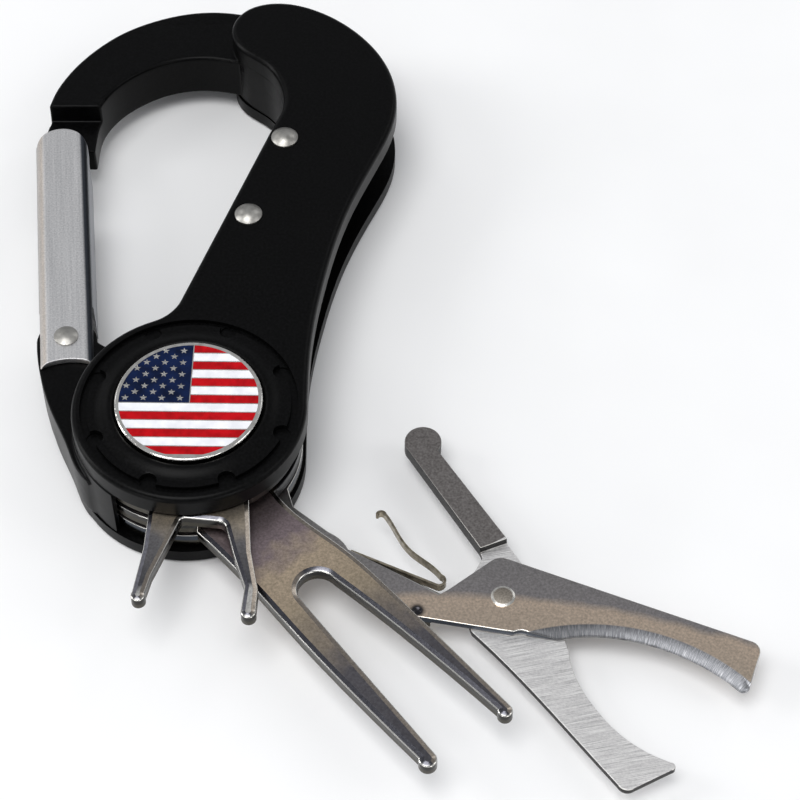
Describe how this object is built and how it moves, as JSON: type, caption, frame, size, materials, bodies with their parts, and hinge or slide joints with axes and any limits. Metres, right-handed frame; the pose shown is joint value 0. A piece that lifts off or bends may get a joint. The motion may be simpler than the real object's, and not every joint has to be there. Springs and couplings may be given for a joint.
{
  "type": "divot repair tool",
  "caption": "Folding golf pocket tool with carabiner hook and sprung gate, fold-out divot fork, cleat wrench, cigar cutter and magnetic ball marker.",
  "frame": {"origin": "on the axis of the hub's pivot, in the plane of the back face", "axes": "+X to the right, +Y towards the hook end, +Z out of the front, where the ball marker is"},
  "size_m": [0.126, 0.1666, 0.0192],
  "materials": {
    "black_coat": "satin black powder coat",
    "gate_metal": "bead blasted",
    "tumbled_steel": "tumbled, polished on the edges",
    "ground_steel": "ground across the blade",
    "rivet_metal": "polished",
    "spring_steel": "rolled strip",
    "coin_metal": "polished nickel plate",
    "red_enamel": "soft enamel",
    "white_enamel": "soft enamel",
    "blue_enamel": "soft enamel",
    "inner_steel": "turned"
  },
  "bodies": {
    "frame": {"back_scale": "black_coat", "hook_frame": "black_coat", "front_scale": "black_coat", "hub_dial": "black_coat", "pivot_post": "inner_steel", "pivot_screw": "inner_steel", "pivot_washers": "inner_steel", "scale_rivets": "rivet_metal", "marker_magnet": "inner_steel", "gate_rivet": "rivet_metal"},
    "gate": {"gate_channel": "gate_metal", "gate_spring": "spring_steel"},
    "cleat_wrench": {"cleat_wrench": "tumbled_steel"},
    "divot_fork": {"divot_fork": "tumbled_steel"},
    "cutter_arm": {"cutter_arm": "tumbled_steel", "cutter_rivet": "rivet_metal", "cutter_spring": "spring_steel"},
    "cutter_blade": {"cutter_blade": "ground_steel"},
    "ball_marker": {"marker_coin": "coin_metal", "enamel_red": "red_enamel", "enamel_white": "white_enamel", "enamel_blue": "blue_enamel"}
  },
  "joints": [
    {"name": "gate_swing", "type": "hinge", "parent": "frame", "child": "gate", "pos_m": [-0.0227, 0.0183, 0.008], "axis": [0, 0, 1], "range_deg": [-35, 0], "stiffness_Nm_per_rad": 0.03, "springref_deg": 11.46, "deforming": ["gate_spring"]},
    {"name": "wrench_fold", "type": "hinge", "parent": "frame", "child": "cleat_wrench", "pos_m": [0, 0, 0.01225], "axis": [0, 0, 1], "range_deg": [-16, 140]},
    {"name": "fork_fold", "type": "hinge", "parent": "frame", "child": "divot_fork", "pos_m": [0, 0, 0.0086], "axis": [0, 0, 1], "range_deg": [-36, 118]},
    {"name": "cutter_fold", "type": "hinge", "parent": "frame", "child": "cutter_arm", "pos_m": [0, 0, 0.00495], "axis": [0, 0, 1], "range_deg": [-36, 68]},
    {"name": "blade_swing", "type": "hinge", "parent": "cutter_arm", "child": "cutter_blade", "pos_m": [0.0524, -0.0309, 0.0045], "axis": [0, 0, 1], "range_deg": [0, 35], "stiffness_Nm_per_rad": 0.006, "springref_deg": -11.46, "deforming": ["cutter_spring"]},
    {"name": "marker_lift", "type": "slide", "parent": "frame", "child": "ball_marker", "axis": [0, 0, 1], "range_m": [0, 0.02]}
  ]
}
